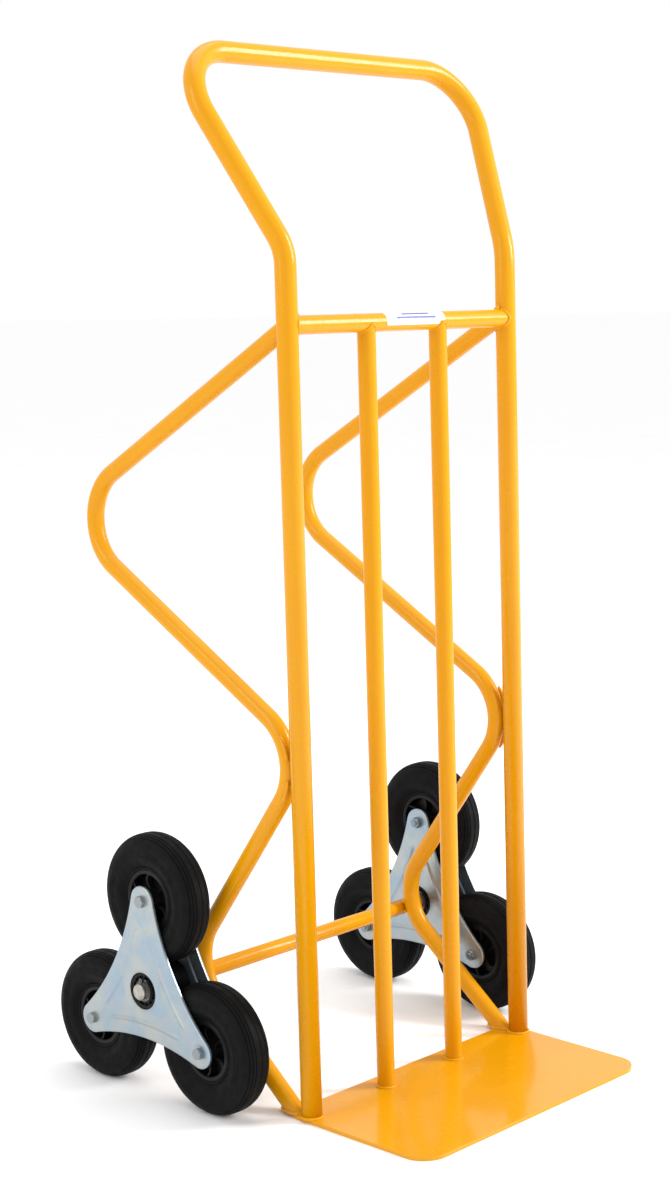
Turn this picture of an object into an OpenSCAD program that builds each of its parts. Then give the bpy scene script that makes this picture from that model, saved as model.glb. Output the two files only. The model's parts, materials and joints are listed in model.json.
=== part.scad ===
// Stair-climbing sack truck: a bent-tube frame on two three-wheel clusters.
//
// Units are millimetres and +Z is up. The origin is on the underside of the toe plate,
// on the centre plane, straight below the foot of the uprights. +X is the user's right
// when they stand behind the truck and face the toe plate's tip at -Y.
//
// The two clusters turn freely on the axle, and every wheel turns freely on its own bolt.

/* [Frame] */
// distance between the centre lines of the two uprights
upright_spacing = 391; // [360:1:420]
// outside diameter of the uprights and the handle loop
main_tube_d = 25.4; // [24:0.1:27]
// outside diameter of the crossbar, the rails and the side guards
light_tube_d = 22; // [20:0.1:23]
// wall thickness of every tube
tube_wall = 1.6; // [1.2:0.1:2]
// how far the frame leans back from vertical, in degrees
frame_lean = 1.2; // [0.5:0.1:1.8]
// height of the crossbar's centre line, measured along the uprights
crossbar_height = 936.5; // [910:0.5:955]
// distance from the centre plane to the centre line of each inner rail
rail_offset = 64; // [50:1:90]

/* [Handle] */
// height at which the uprights bend back, measured along the uprights
handle_bend_height = 1022; // [1000:1:1060]
// height of the top bar's centre line, measured along the uprights
handle_top_height = 1251; // [1200:1:1300]
// how far the top bar stands behind the uprights
handle_setback = 113; // [90:1:130]
// half of the distance between the two virtual corners of the handle loop
handle_half_width = 262; // [250:1:275]
// centre-line radius of every tube bend
bend_radius = 68; // [64:1:70]

/* [Toe plate] */
// width of the toe plate
plate_width = 413; // [405:1:440]
// how far the toe plate reaches in front of the uprights
plate_reach = 190; // [150:1:240]
// how far the toe plate reaches behind the uprights
plate_back = 29; // [26:1:34]
// thickness of the toe plate
plate_thickness = 5; // [4:0.5:6]
// radius of the two front corners
plate_front_corner = 32; // [20:1:50]
// radius of the two back corners
plate_back_corner = 15; // [8:1:20]

/* [Wheels] */
// diameter of a wheel over its tyre
wheel_d = 160; // [150:1:164]
// width of a tyre
tyre_width = 43; // [38:0.5:44]
// radius at which the tyre sits on its rim
rim_r = 37; // [34:0.5:40]
// distance from the axle to the centre of each wheel
cluster_r = 111.8; // [108:0.1:116]
// distance from the centre plane to the middle plane of each cluster
cluster_offset = 252.6; // [250:0.1:262]
// distance of the axle behind the foot of the uprights
axle_back = 201; // [198:0.5:202]
// diameter of the axle
axle_d = 20; // [19.6:0.1:20.2]

/* [Cluster plates] */
// distance between the outer faces of a cluster's two plates
plate_pair_width = 54; // [53:0.5:58]
// thickness of a cluster plate
cluster_plate_thickness = 2.5; // [2:0.1:3]
// radius of the rounded arm ends
arm_end_r = 19; // [17:0.5:20]
// distance from the axle to the nearest point of a plate's edge
waist_r = 60; // [56:0.5:62]
// radius of the hub hole in a cluster plate
hub_hole_r = 23; // [20:0.5:25]

/* [Node] */
// which node to draw

/* [Hidden] */
$fn = 96;
half_spacing = upright_spacing / 2;
running_gap = 0.05;
free_gap = 0.1;
long_cut = 3000;
cut_past = 1;
cope_depth = 20;
bend_swell = 0.2;
bend_overlap = 1;

// Side guard: corners of its centre line as [behind the uprights, along the uprights].
guard_top = [0, 939.8];
guard_rear_corner = [423.5, 702];
guard_front_corner = [-7, 441];
guard_axle_corner = [206.7, 155];
guard_foot = [21.5, 0];
guard_top_x = 186.9;
guard_foot_x = 194.5;
guard_tilt = atan2(guard_foot_x - guard_top_x, guard_top[1] - guard_foot[1]);

// Wheel: a rounded tyre on a ribbed rim.
wheel_r = wheel_d / 2;
shoulder_r = 17;
bead_half_width = 16;
hub_r = 14;
hub_half_length = 23;
rim_wall = 6;
rim_rib_count = 6;
rim_rib_thickness = 4;
rim_rib_half_width = 12;
rim_web_half_width = 3;
rim_overlap = 1;
rib_length = rim_r - rim_wall - hub_r + 2 * rim_overlap;

// Cluster: two pressed plates, a hub bush and three bolts with spacer sleeves.
inner_half = plate_pair_width / 2 - cluster_plate_thickness;
axle_height = wheel_r + cluster_r / 2;
axle_r = axle_d / 2;
axle_stub = 8.4;
axle_half_length = cluster_offset + plate_pair_width / 2 + axle_stub;
hub_barrel_r = 28;
hub_recess = 1;
sleeve_r = 6;
bolt_r = 4;
bolt_head_width = 13;
bolt_head_height = 5.3;
nut_height = 6.5;
bolt_tail = 2;
bead_height = 1.6;
bead_half_thickness = 2.4;
bead_inset = 20;
bead_sweep = 23;

// Retaining clips: spring rings in grooves of the axle, one on each side of each hub.
clip_thickness = 1.2;
clip_gap = 0.2;
clip_groove_depth = 0.75;
clip_outer_r = 13;
clip_lug_r = 2.8;
clip_lug_hole_r = 1.1;
clip_lug_shift = 0.6;
clip_slot = 4;

// Welds and the blank label on the crossbar.
weld_size = 3;
weld_band = 2.1;
label_thickness = 0.3;
label_left = -39;
label_right = 66;
label_gap = 0.05;
label_top = 182;
label_bottom = 292;

// ---- tubes along a path ----------------------------------------------------------------

function unit(v) = v / norm(v);
function turn(a, b, c) = acos(unit(b - a) * unit(c - b));
function setback(a, b, c) = bend_radius * tan(turn(a, b, c) / 2);

// The first and last point of straight number i, between the bends on either side.
function straight_start(path, i) =
    i == 0 ? path[0]
           : path[i] + unit(path[i + 1] - path[i]) * setback(path[i - 1], path[i], path[i + 1]);
function straight_end(path, i) =
    i == len(path) - 2 ? path[i + 1]
        : path[i + 1] - unit(path[i + 1] - path[i]) * setback(path[i], path[i + 1], path[i + 2]);

module ring(outer_d, wall) {
    difference() {
        circle(d = outer_d);
        circle(d = outer_d - 2 * wall);
    }
}

// Turns a child so that its +X and +Z lie along two directions at right angles.
module posed(x_axis, z_axis) {
    y_axis = cross(z_axis, x_axis);
    rotate([
        atan2(y_axis[2], z_axis[2]),
        atan2(-x_axis[2], norm([y_axis[2], z_axis[2]])),
        atan2(x_axis[1], x_axis[0])
    ])
        children();
}

// The axis that the tube turns about at corner number i.
function bend_axis(path, i) = unit(cross(path[i] - path[i - 1], path[i + 1] - path[i]));

// Straight number i, with each end that meets a bend run on a little into it.
module straight(path, i, outer_d, wall) {
    along = unit(path[i + 1] - path[i]);
    from = straight_start(path, i) - along * (i == 0 ? 0 : bend_overlap);
    to = straight_end(path, i) + along * (i == len(path) - 2 ? 0 : bend_overlap);
    translate(from)
        posed(bend_axis(path, max(i, 1)), along)
            linear_extrude(norm(to - from))
                ring(outer_d, wall);
}

// The bend at corner number i. Bending swells the tube a little, so the ends of the
// straights lie inside its wall and the pieces join without sharing a surface.
module bend(path, i, outer_d, wall) {
    axis = bend_axis(path, i);
    outward = cross(unit(path[i] - path[i - 1]), axis);
    translate(straight_end(path, i - 1) - outward * bend_radius)
        posed(outward, axis)
            rotate_extrude(angle = turn(path[i - 1], path[i], path[i + 1]))
                translate([bend_radius, 0])
                    ring(outer_d + 2 * bend_swell, wall);
}

module bent_tube(path, outer_d, wall) {
    for (i = [0 : len(path) - 2])
        straight(path, i, outer_d, wall);
    for (i = [1 : len(path) - 2])
        bend(path, i, outer_d, wall);
}

// ---- placement -------------------------------------------------------------------------

// Leans a child back with the frame.
module leaned() {
    rotate([-frame_lean, 0, 0])
        children();
}

// Everything above the top face of the toe plate.
module above_plate() {
    difference() {
        children();
        translate([-long_cut / 2, -long_cut / 2, plate_thickness - long_cut])
            cube(long_cut);
    }
}

// The outer form of an upright, used to cope the tubes that meet it.
module upright_form(side, extra = 0) {
    translate([side * half_spacing, 0, -cope_depth])
        cylinder(r = main_tube_d / 2 + extra, h = crossbar_height + light_tube_d + cope_depth);
}

module crossbar_form(extra = 0) {
    translate([-half_spacing, 0, crossbar_height])
        rotate([0, 90, 0])
            cylinder(r = light_tube_d / 2 + extra, h = upright_spacing);
}

module rail_form(side, extra = 0) {
    translate([side * rail_offset, 0, -cope_depth])
        cylinder(r = light_tube_d / 2 + extra, h = crossbar_height + cope_depth);
}

// Places a child in the middle plane of one cluster, with +Z pointing away from the truck.
module at_cluster(side) {
    translate([side * cluster_offset, axle_back, axle_height])
        rotate([0, side * 90, 0])
            rotate([0, 0, side > 0 ? 180 : 0])
                children();
}

// Repeats a child at the three wheel centres; local +X points up at angle 0.
module at_each_arm() {
    for (i = [0 : 2])
        rotate([0, 0, i * 120])
            children();
}

// In the frame of at_cluster, up is local +X, so the top wheel is arm 0.
module at_wheel(side, arm) {
    at_cluster(side)
        rotate([0, 0, -side * arm * 120])
            translate([cluster_r, 0, 0])
                children();
}

// ---- frame -----------------------------------------------------------------------------

module toe_plate() {
    corner = plate_front_corner;
    color([1, 0.66, 0.1])
        linear_extrude(plate_thickness)
            union() {
                translate([-plate_width / 2, corner - plate_reach])
                    square([plate_width, plate_reach + plate_back - corner - plate_back_corner]);
                translate([corner - plate_width / 2, -plate_reach])
                    square([plate_width - 2 * corner, plate_reach]);
                translate([plate_back_corner - plate_width / 2, 0])
                    square([plate_width - 2 * plate_back_corner, plate_back]);
                for (side = [-1, 1]) {
                    translate([side * (plate_width / 2 - corner), corner - plate_reach])
                        circle(r = corner);
                    translate([side * (plate_width / 2 - plate_back_corner), plate_back - plate_back_corner])
                        circle(r = plate_back_corner);
                }
            }
}

module main_frame() {
    foot = [half_spacing, 0, 0];
    knee = [half_spacing, 0, handle_bend_height];
    corner = [handle_half_width, handle_setback, handle_top_height];
    flip = [-1, 1, 1];
    path = [
        [for (k = [0 : 2]) foot[k] * flip[k]],
        [for (k = [0 : 2]) knee[k] * flip[k]],
        [for (k = [0 : 2]) corner[k] * flip[k]],
        corner,
        knee,
        foot
    ];
    color([1, 0.66, 0.1])
        above_plate()
            leaned()
                bent_tube(path, main_tube_d, tube_wall);
}

module crossbar() {
    color([1, 0.66, 0.1])
        leaned()
            difference() {
                translate([-half_spacing, 0, crossbar_height])
                    rotate([0, 90, 0])
                        linear_extrude(upright_spacing)
                            ring(light_tube_d, tube_wall);
                for (side = [-1, 1])
                    upright_form(side);
            }
}

module rail(side) {
    color([1, 0.66, 0.1])
        above_plate()
            leaned()
                difference() {
                    translate([side * rail_offset, 0, 0])
                        linear_extrude(crossbar_height)
                            ring(light_tube_d, tube_wall);
                    crossbar_form();
                }
}

// The guard is bent flat, then tilted a little so that its foot stands further out.
module guard_path(side) {
    corners = [guard_top, guard_rear_corner, guard_front_corner, guard_axle_corner, guard_foot];
    path = [for (c = corners) [0, c[0], c[1]]];
    translate([side * guard_foot_x, 0, 0])
        rotate([0, -side * guard_tilt, 0])
            bent_tube(path, light_tube_d, tube_wall);
}

module side_guard(side) {
    color([1, 0.66, 0.1])
        above_plate()
            leaned()
                difference() {
                    guard_path(side);
                    upright_form(side);
                    crossbar_form();
                }
}

// A fillet ring round a tube that stands on the toe plate.
module foot_weld(x, y, tube_d) {
    translate([x, y, plate_thickness])
        rotate_extrude()
            translate([tube_d / 2, 0])
                polygon([[0, 0], [weld_size, 0], [0, weld_size]]);
}

// A band of weld round the saddle where a tube meets an upright.
module upright_weld(side) {
    difference() {
        intersection() {
            crossbar_form(weld_band);
            upright_form(side, weld_band);
        }
        crossbar_form();
        upright_form(side);
    }
}

module rail_weld(side) {
    difference() {
        intersection() {
            crossbar_form(weld_band);
            rail_form(side, weld_band);
        }
        crossbar_form();
        rail_form(side);
    }
}

// A straight piece of the guard as a solid bar, as thick as the tube and a little more.
module guard_bar(side, from, to, extra = 0) {
    reach = [0, to[0] - from[0], to[1] - from[1]];
    translate([side * guard_foot_x, 0, 0])
        rotate([0, -side * guard_tilt, 0])
            translate([0, from[0], from[1]])
                rotate([-atan2(reach[1], reach[2]), 0, 0])
                    cylinder(r = light_tube_d / 2 + extra, h = norm(reach) / 2);
}

// The guard's top end lies against the upright, with a band of weld round the joint.
module guard_top_weld(side) {
    difference() {
        intersection() {
            guard_bar(side, guard_top, guard_rear_corner, weld_band);
            upright_form(side, weld_band);
        }
        guard_bar(side, guard_top, guard_rear_corner);
        upright_form(side);
    }
}

// A low collar where the sloping foot of the guard stands on the toe plate.
module guard_foot_weld(side) {
    intersection() {
        difference() {
            leaned()
                guard_bar(side, guard_foot, guard_axle_corner, weld_band);
            leaned()
                guard_bar(side, guard_foot, guard_axle_corner);
        }
        translate([-plate_width / 2, 0, plate_thickness])
            cube([plate_width, 2 * plate_back, weld_band]);
    }
}

module frame_welds() {
    foot_y = plate_thickness * sin(frame_lean);
    color([0.9, 0.58, 0.08])
        for (side = [-1, 1]) {
            foot_weld(side * half_spacing, foot_y, main_tube_d);
            foot_weld(side * rail_offset, foot_y, light_tube_d);
            leaned() {
                upright_weld(side);
                rail_weld(side);
                guard_top_weld(side);
            }
            guard_foot_weld(side);
        }
}

// A thin strip round the upper front of the crossbar, cut away round the rail's weld.
module label() {
    outer = light_tube_d / 2 + label_gap + label_thickness;
    reach = 2 * light_tube_d;
    color([0.92, 0.93, 0.95])
        leaned()
            difference() {
                translate([label_left, 0, crossbar_height])
                    rotate([0, 90, 0])
                        linear_extrude(label_right - label_left)
                            intersection() {
                                ring(2 * outer, label_thickness);
                                polygon([
                                    [0, 0],
                                    reach * [cos(label_top), sin(label_top)],
                                    reach * [-1, -1],
                                    reach * [cos(label_bottom), sin(label_bottom)]
                                ]);
                            }
                rail_form(right, weld_band + free_gap);
            }
}

// ---- axle ------------------------------------------------------------------------------

// Where the two clips of a cluster sit, measured from the cluster's middle plane.
clip_from_middle = plate_pair_width / 2 - hub_recess + clip_gap;

module axle() {
    groove_r = axle_r - clip_groove_depth;
    groove_from_middle = clip_from_middle + clip_thickness / 2;
    color([0.72, 0.72, 0.7])
        rotate([0, 90, 0])
            translate([-axle_height, axle_back, 0])
                difference() {
                    translate([0, 0, -axle_half_length])
                        cylinder(r = axle_r, h = 2 * axle_half_length);
                    for (side = [-1, 1], end = [-1, 1])
                        translate([0, 0, side * (cluster_offset + end * groove_from_middle)])
                            rotate_extrude()
                                translate([groove_r, -clip_thickness / 2 - free_gap])
                                    square([clip_groove_depth + cut_past, clip_thickness + 2 * free_gap]);
                }
}

module clip() {
    inner_r = axle_r - clip_groove_depth + running_gap;
    lug_at = (inner_r + clip_outer_r) / 2 + clip_lug_shift;
    lug_side = clip_slot / 2 + 2 * clip_lug_hole_r;
    linear_extrude(clip_thickness)
        difference() {
            union() {
                circle(r = clip_outer_r);
                for (side = [-1, 1])
                    translate([lug_at, side * lug_side])
                        circle(r = clip_lug_r);
            }
            circle(r = inner_r);
            translate([0, -clip_slot / 2])
                square([2 * clip_outer_r, clip_slot]);
            for (side = [-1, 1])
                translate([lug_at, side * lug_side])
                    circle(r = clip_lug_hole_r);
        }
}

module axle_clips() {
    color([0.55, 0.55, 0.55])
        for (side = [-1, 1]) {
            at_cluster(side)
                translate([0, 0, clip_from_middle])
                    clip();
            at_cluster(side)
                translate([0, 0, -clip_from_middle - clip_thickness])
                    clip();
        }
}

// ---- cluster ---------------------------------------------------------------------------

// The edge between two arms is an arc that leaves one rounded arm end and joins the next.
edge_centre = (cluster_r * cluster_r - (waist_r - arm_end_r) * (waist_r - arm_end_r))
    / (cluster_r - 2 * (waist_r - arm_end_r));
edge_r = edge_centre - waist_r;

// Where an edge arc touches the rounded end of the arm that points along +X.
function edge_touch(side) =
    let (far = edge_centre * [cos(60), side * sin(60)],
         arm = [cluster_r, 0])
    arm + (far - arm) * arm_end_r / norm(far - arm);

function turned(p, angle) =
    [p[0] * cos(angle) - p[1] * sin(angle), p[0] * sin(angle) + p[1] * cos(angle)];

module cluster_outline() {
    difference() {
        polygon([
            for (i = [0 : 2])
                for (side = [-1, 1])
                    turned(edge_touch(side), i * 120)
        ]);
        for (i = [0 : 2])
            rotate(i * 120 + 60)
                translate([edge_centre, 0])
                    circle(r = edge_r, $fn = 360);
    }
    at_each_arm()
        translate([cluster_r, 0])
            circle(r = arm_end_r);
}

module cluster_plate_blank() {
    linear_extrude(cluster_plate_thickness)
        difference() {
            cluster_outline();
            circle(r = hub_hole_r);
            at_each_arm()
                translate([cluster_r, 0])
                    circle(r = bolt_r + free_gap);
        }
}

// Three pressed beads follow the curved edges and stiffen the plate.
module stiffening_beads() {
    bead_r = edge_r + bead_inset;
    for (i = [0 : 2])
        rotate([0, 0, i * 120 + 60])
            translate([edge_centre, 0, cluster_plate_thickness])
                rotate([0, 0, 180 - bead_sweep / 2])
                    rotate_extrude(angle = bead_sweep, $fn = 360)
                        translate([bead_r, 0])
                            polygon([
                                [-bead_half_thickness, 0],
                                [bead_half_thickness, 0],
                                [bead_half_thickness / 2, bead_height],
                                [-bead_half_thickness / 2, bead_height]
                            ]);
}

module cluster_plate() {
    color([0.78, 0.8, 0.82]) {
        cluster_plate_blank();
        stiffening_beads();
    }
}

module outer_plate(side) {
    at_cluster(side)
        translate([0, 0, inner_half])
            cluster_plate();
}

module inner_plate(side) {
    at_cluster(side)
        mirror([0, 0, 1])
            translate([0, 0, inner_half])
                cluster_plate();
}

module hub_bush(side) {
    half_length = plate_pair_width / 2 - hub_recess;
    color([0.06, 0.06, 0.07])
        at_cluster(side)
            difference() {
                union() {
                    translate([0, 0, -inner_half])
                        cylinder(r = hub_barrel_r, h = 2 * inner_half);
                    translate([0, 0, -half_length])
                        cylinder(r = hub_hole_r - running_gap, h = 2 * half_length);
                }
                translate([0, 0, -half_length - cut_past])
                    cylinder(r = axle_r + running_gap, h = 2 * (half_length + cut_past));
            }
}

module spacer_sleeves(side) {
    color([0.6, 0.6, 0.6])
        at_cluster(side)
            at_each_arm()
                translate([cluster_r, 0, -inner_half])
                    difference() {
                        cylinder(r = sleeve_r, h = 2 * inner_half);
                        translate([0, 0, -cut_past])
                            cylinder(r = bolt_r + free_gap, h = 2 * (inner_half + cut_past));
                    }
}

module hexagon(width) {
    circle(d = width / cos(30), $fn = 6);
}

module wheel_bolts(side) {
    half = plate_pair_width / 2;
    color([0.8, 0.8, 0.8])
        at_cluster(side)
            at_each_arm()
                translate([cluster_r, 0, 0]) {
                    translate([0, 0, half])
                        linear_extrude(bolt_head_height)
                            hexagon(bolt_head_width);
                    translate([0, 0, -half - nut_height - bolt_tail])
                        cylinder(r = bolt_r, h = 2 * half + nut_height + bolt_tail);
                }
}

module bolt_nuts(side) {
    color([0.8, 0.8, 0.8])
        at_cluster(side)
            at_each_arm()
                translate([cluster_r, 0, -plate_pair_width / 2 - nut_height])
                    linear_extrude(nut_height)
                        difference() {
                            hexagon(bolt_head_width);
                            circle(r = bolt_r + running_gap);
                        }
}

// ---- wheels ----------------------------------------------------------------------------

// The tyre's section beside the wheel's axis: a square tread band, two flat sidewalls with
// rounded shoulders, and a narrower foot where the tyre sits on its rim.
module tyre_section() {
    half = tyre_width / 2;
    crown = half - shoulder_r;
    union() {
        translate([rim_r, -crown])
            square([wheel_r - rim_r, 2 * crown]);
        translate([rim_r, -bead_half_width])
            square([shoulder_r, 2 * bead_half_width]);
        translate([rim_r + shoulder_r, -half])
            square([wheel_r - rim_r - 2 * shoulder_r, 2 * half]);
        for (side = [-1, 1], at = [rim_r + shoulder_r, wheel_r - shoulder_r])
            translate([at, side * crown])
                circle(r = shoulder_r);
    }
}

module tyre(side, arm) {
    color([0.05, 0.05, 0.05])
        at_wheel(side, arm)
            rotate_extrude()
                tyre_section();
}

module rim_section() {
    bore_r = sleeve_r + running_gap;
    translate([bore_r, -hub_half_length])
        square([hub_r - bore_r, 2 * hub_half_length]);
    translate([hub_r - rim_overlap, -rim_web_half_width])
        square([rim_r - hub_r, 2 * rim_web_half_width]);
    translate([rim_r - rim_wall, -bead_half_width])
        square([rim_wall, 2 * bead_half_width]);
}

module rim(side, arm) {
    color([0.08, 0.08, 0.09])
        at_wheel(side, arm) {
            rotate_extrude()
                rim_section();
            for (i = [0 : rim_rib_count - 1])
                rotate([0, 0, i * 360 / rim_rib_count])
                    translate([hub_r - rim_overlap, -rim_rib_thickness / 2, -rim_rib_half_width])
                        cube([rib_length, rim_rib_thickness, 2 * rim_rib_half_width]);
        }
}

// ---- nodes -----------------------------------------------------------------------------

left = -1;
right = 1;

toe_plate();
main_frame();
crossbar();
rail(left);  // left_rail
rail(right);  // right_rail
side_guard(left);  // left_guard
side_guard(right);  // right_guard
frame_welds();
label();
axle();
axle_clips();
outer_plate(left);  // left_outer_plate
inner_plate(left);  // left_inner_plate
hub_bush(left);  // left_hub_bush
spacer_sleeves(left);  // left_spacer_sleeves
wheel_bolts(left);  // left_wheel_bolts
bolt_nuts(left);  // left_bolt_nuts
outer_plate(right);  // right_outer_plate
inner_plate(right);  // right_inner_plate
hub_bush(right);  // right_hub_bush
spacer_sleeves(right);  // right_spacer_sleeves
wheel_bolts(right);  // right_wheel_bolts
bolt_nuts(right);  // right_bolt_nuts
tyre(left, 0);  // left_top_tyre
tyre(left, 1);  // left_rear_tyre
tyre(left, 2);  // left_front_tyre
tyre(right, 0);  // right_top_tyre
tyre(right, 1);  // right_rear_tyre
tyre(right, 2);  // right_front_tyre
rim(left, 0);  // left_top_rim
rim(left, 1);  // left_rear_rim
rim(left, 2);  // left_front_rim
rim(right, 0);  // right_top_rim
rim(right, 1);  // right_rear_rim
rim(right, 2);  // right_front_rim
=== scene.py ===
"""Stair-climbing sack truck: materials, detailed pieces, studio light and camera.

Everything is in metres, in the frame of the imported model: +Z up, the toe plate's tip at -Y,
the origin on the underside of the toe plate below the uprights.
"""
import json
import math
import random

import bmesh
import bpy
from mathutils import Matrix, Vector
from mathutils.geometry import delaunay_2d_cdt


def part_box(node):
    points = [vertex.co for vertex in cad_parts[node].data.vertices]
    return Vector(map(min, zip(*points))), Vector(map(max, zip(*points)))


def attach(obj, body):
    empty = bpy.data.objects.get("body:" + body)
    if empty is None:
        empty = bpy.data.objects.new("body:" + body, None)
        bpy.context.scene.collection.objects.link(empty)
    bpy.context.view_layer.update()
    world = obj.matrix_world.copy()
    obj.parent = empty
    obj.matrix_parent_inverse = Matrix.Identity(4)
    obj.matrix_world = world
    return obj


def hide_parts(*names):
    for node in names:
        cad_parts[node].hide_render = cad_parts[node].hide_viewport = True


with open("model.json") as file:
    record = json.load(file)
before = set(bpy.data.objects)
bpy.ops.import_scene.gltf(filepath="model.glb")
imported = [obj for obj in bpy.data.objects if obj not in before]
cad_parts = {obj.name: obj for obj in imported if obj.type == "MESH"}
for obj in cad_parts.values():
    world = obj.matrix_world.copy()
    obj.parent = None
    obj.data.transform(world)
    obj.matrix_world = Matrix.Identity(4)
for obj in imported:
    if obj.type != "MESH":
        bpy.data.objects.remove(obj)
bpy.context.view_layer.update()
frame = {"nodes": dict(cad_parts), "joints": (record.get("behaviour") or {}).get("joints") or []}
nodes = frame["nodes"]
joints = {joint["name"]: joint for joint in frame["joints"]}

SIDES = {"left": -1, "right": 1}
ARMS = ("top", "rear", "front")

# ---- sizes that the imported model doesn't state in its boxes ----

# frame
LEAN = math.radians(1.2)
LEANED = Matrix.Rotation(-LEAN, 4, "X")
MAIN_R = 0.0127
LIGHT_R = 0.011
BEND_R = 0.068
BEND_STEP_DEGREES = 2.5
HALF_SPACING = 0.1955
RAIL_OFFSET = 0.064
CROSSBAR_HEIGHT = 0.9365
# how far short of the uprights' axes the crossbar ends, in their radii
BAR_SHORTFALL = 0.6
HANDLE_BEND_Z = 1.022
HANDLE_CORNER = (0.262, 0.113, 1.251)
PLATE_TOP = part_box("toe_plate")[1].z
FOOT_SINK = 0.0004

# side guards: corners of the flat zigzag as (behind, up), from the top to the foot
GUARD_TOP_X = 0.1869
GUARD_FOOT_X = 0.1945
GUARD_TOP_Z = 0.9398
GUARD_CORNERS = [(0.0, GUARD_TOP_Z), (0.4235, 0.702), (-0.007, 0.441), (0.2067, 0.155), (0.0215, 0.0)]

# weld beads
WELD_R = 0.0023
RAIL_WELD_R = 0.0019
GROOVE_WELD_R = 0.0026
AXLE_WELD_R = 0.0029
WELD_STEP = 0.0005
WELD_RIPPLE = 0.0026
RIPPLE_DEPTH = 0.14
WELD_WAVES = 5
WAVE_DEPTH = 0.03
WELD_END_SHARE = 0.15

# label: angles go round the crossbar from straight behind over the top to the front
LABEL_LIFT = 0.00012
LABEL_THICKNESS = 0.00022
LABEL_LOW = math.radians(201)
LABEL_HIGH = math.radians(92)
LABEL_CORNER = 0.0022
WELD_CLEAR_R = 0.0135
INK_LIFT = 0.00006
INK_CORNER = 0.0003
# start and end along the label, then lower and upper angle in degrees
LABEL_STRIPES = ((0.030, 0.078, 133, 122), (0.018, 0.088, 166, 149))

# axle and clips
AXLE_R = 0.010
AXLE_CENTRE = Vector(joints["left_cluster_spin"]["pos_m"])
CLUSTER_X = abs(AXLE_CENTRE.x)
GROOVE_HALF = 0.0008
GROOVE_DEPTH = 0.00075
CLIP_GAP = 0.0002
CLIP_HALF = 0.0006

# cluster plates
ARM_ANGLE = 120
CLUSTER_R = 0.1118
ARM_END_R = 0.019
WAIST_R = 0.060
HUB_HOLE_R = 0.023
BOLT_HOLE_R = 0.0041
PLATE_PAIR = 0.054
SHEET = 0.0025
BEAD_INSET = 0.020
BEAD_HEIGHT = 0.0016
BEAD_HALF = 0.0024
BEAD_REACH = math.radians(11.5)
BEAD_FADE = math.radians(1.6)
SEAT_R = 0.0115
SEAT_SLOPE = 0.002
SEAT_DEPTH = 0.0006
COLLAR_WIDTH = 0.0035
COLLAR_HEIGHT = 0.0009
RIM_ROUND = 0.0011
# no point nearer to the hub than this is close to the rim
RIM_FREE_R = 0.05

# mesh of the cluster plates: rings round the holes, and a grid, thinner near the bolts
COLLAR_RINGS = (0.0245, 0.0262, 0.0285)
SEAT_RINGS = (0.0095, 0.0105, 0.0116)
GRID_STEP = 0.0016
GRID_REACH = 87
GRID_HUB_R = 0.030
GRID_THIN_R = 0.018

# bolts, nuts and sleeves
HEX_WIDTH = 0.013
SHANK_R = 0.0039
THREAD_R = 0.004
THREAD_PITCH = 0.00125
TAIL = 0.0084
TIP_R = 0.0001
SLEEVE_BORE = 0.0041
SLEEVE_R = 0.006
SLEEVE_HALF = 0.0245

# hub bushes
BARREL_R = 0.028
BUSH_INSET = 0.001
BUSH_FIT = 0.00006
POCKET_DEPTH = 0.0030
BOX_FACES = [(0, 1, 3, 2), (4, 6, 7, 5), (0, 4, 5, 1), (2, 3, 7, 6), (0, 2, 6, 4), (1, 5, 7, 3)]

# wheels: the tread's grooves as angles round the shoulder from the tread, in degrees
WHEEL_R = 0.080
RIM_R = 0.037
TYRE_HALF = 0.0215
SHOULDER_R = 0.017
SIDE_GROOVE = 0.0005
TREAD_GROOVE = 0.0009
TREAD_GROOVE_ANGLES = (44, 30, 16)

TRUCK_MIDDLE = Vector((0.0, 0.1, 0.6))


# ---- shader helper ----

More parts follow.
